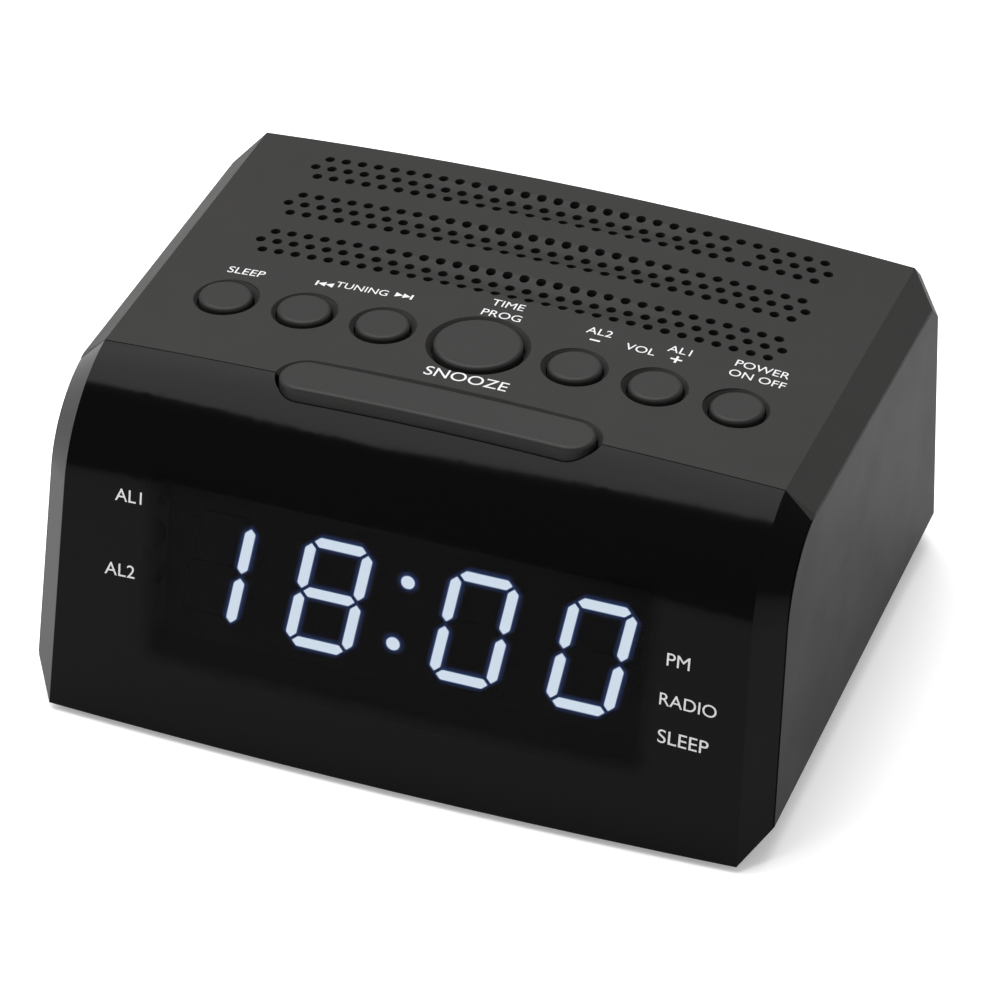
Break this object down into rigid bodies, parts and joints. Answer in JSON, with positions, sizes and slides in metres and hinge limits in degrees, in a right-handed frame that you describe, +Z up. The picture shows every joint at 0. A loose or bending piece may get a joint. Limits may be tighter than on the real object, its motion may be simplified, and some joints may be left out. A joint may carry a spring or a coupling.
{
  "type": "clock radio",
  "caption": "Table-top clock radio with a sloping glossy display front, a row of round keys, a snooze bar and a perforated top speaker grille.",
  "frame": {"origin": "centre of the bounding box's underside, on the surface the feet stand on", "axes": "+X along the width, to the right seen from the front; +Y to the back; +Z up"},
  "size_m": [0.1436, 0.112, 0.0693],
  "materials": {
    "cover_plastic": "fine matt moulded plastic",
    "key_plastic": "matt moulded plastic",
    "lens_gloss": "polished dark acrylic",
    "case_plastic": "satin black moulded plastic",
    "foot_rubber": "matt rubber",
    "light_bar": "diffusing plastic, lit blue-white",
    "module_black": "matt",
    "board_green": "solder mask",
    "component_black": "matt",
    "cone_paper": "pressed paper, coated",
    "steel": "plated",
    "magnet": "ferrite, ground"
  },
  "bodies": {
    "case": {"aerial_gland": "foot_rubber", "backup_cell": "steel", "base_cover": "case_plastic", "capacitors": "component_black", "case_screws": "steel", "cell_contact": "steel", "colon_dots": "light_bar", "crystal": "steel", "dc_inlet": "component_black", "display_board": "board_green", "display_module": "module_black", "display_screws": "steel", "display_segments": "light_bar", "front_lens": "lens_gloss", "indicator_lamps": "light_bar", "inlet_contact": "steel", "key_board": "board_green", "key_board_screws": "steel", "main_board": "board_green", "main_board_screws": "steel", "main_housing": "case_plastic", "rubber_feet": "foot_rubber", "signal_chips": "component_black", "speaker_basket": "steel", "speaker_cone": "cone_paper", "speaker_magnet": "magnet", "speaker_screws": "steel", "switch_bodies": "component_black", "top_cover": "cover_plastic", "tuner_shield": "steel"},
    "sleep_key": {"sleep_key": "key_plastic", "sleep_plunger": "component_black"},
    "tune_down_key": {"tune_down_key": "key_plastic", "tune_down_plunger": "component_black"},
    "tune_up_key": {"tune_up_key": "key_plastic", "tune_up_plunger": "component_black"},
    "time_key": {"time_key": "key_plastic", "time_plunger": "component_black"},
    "alarm_two_key": {"alarm_two_key": "key_plastic", "alarm_two_plunger": "component_black"},
    "alarm_one_key": {"alarm_one_key": "key_plastic", "alarm_one_plunger": "component_black"},
    "power_key": {"power_key": "key_plastic", "power_plunger": "component_black"},
    "snooze_bar": {"snooze_bar": "key_plastic", "snooze_plunger": "component_black"},
    "battery_door": {"battery_door": "case_plastic"}
  },
  "joints": [
    {"name": "sleep_press", "type": "slide", "parent": "case", "child": "sleep_key", "axis": [0, -0.0489, -0.9988], "range_m": [0, 0.0008], "stiffness_N_per_m": 300, "springref_m": -0.001},
    {"name": "tune_down_press", "type": "slide", "parent": "case", "child": "tune_down_key", "axis": [0, -0.0489, -0.9988], "range_m": [0, 0.0008], "stiffness_N_per_m": 300, "springref_m": -0.001},
    {"name": "tune_up_press", "type": "slide", "parent": "case", "child": "tune_up_key", "axis": [0, -0.0489, -0.9988], "range_m": [0, 0.0008], "stiffness_N_per_m": 300, "springref_m": -0.001},
    {"name": "time_press", "type": "slide", "parent": "case", "child": "time_key", "axis": [0, -0.0489, -0.9988], "range_m": [0, 0.0008], "stiffness_N_per_m": 300, "springref_m": -0.001},
    {"name": "alarm_two_press", "type": "slide", "parent": "case", "child": "alarm_two_key", "axis": [0, -0.0489, -0.9988], "range_m": [0, 0.0008], "stiffness_N_per_m": 300, "springref_m": -0.001},
    {"name": "alarm_one_press", "type": "slide", "parent": "case", "child": "alarm_one_key", "axis": [0, -0.0489, -0.9988], "range_m": [0, 0.0008], "stiffness_N_per_m": 300, "springref_m": -0.001},
    {"name": "power_press", "type": "slide", "parent": "case", "child": "power_key", "axis": [0, -0.0489, -0.9988], "range_m": [0, 0.0008], "stiffness_N_per_m": 300, "springref_m": -0.001},
    {"name": "snooze_press", "type": "slide", "parent": "case", "child": "snooze_bar", "axis": [0, -0.0489, -0.9988], "range_m": [0, 0.0008], "stiffness_N_per_m": 300, "springref_m": -0.001},
    {"name": "battery_door_slide", "type": "slide", "parent": "case", "child": "battery_door", "axis": [0, 1, 0], "range_m": [0, 0.006]}
  ]
}
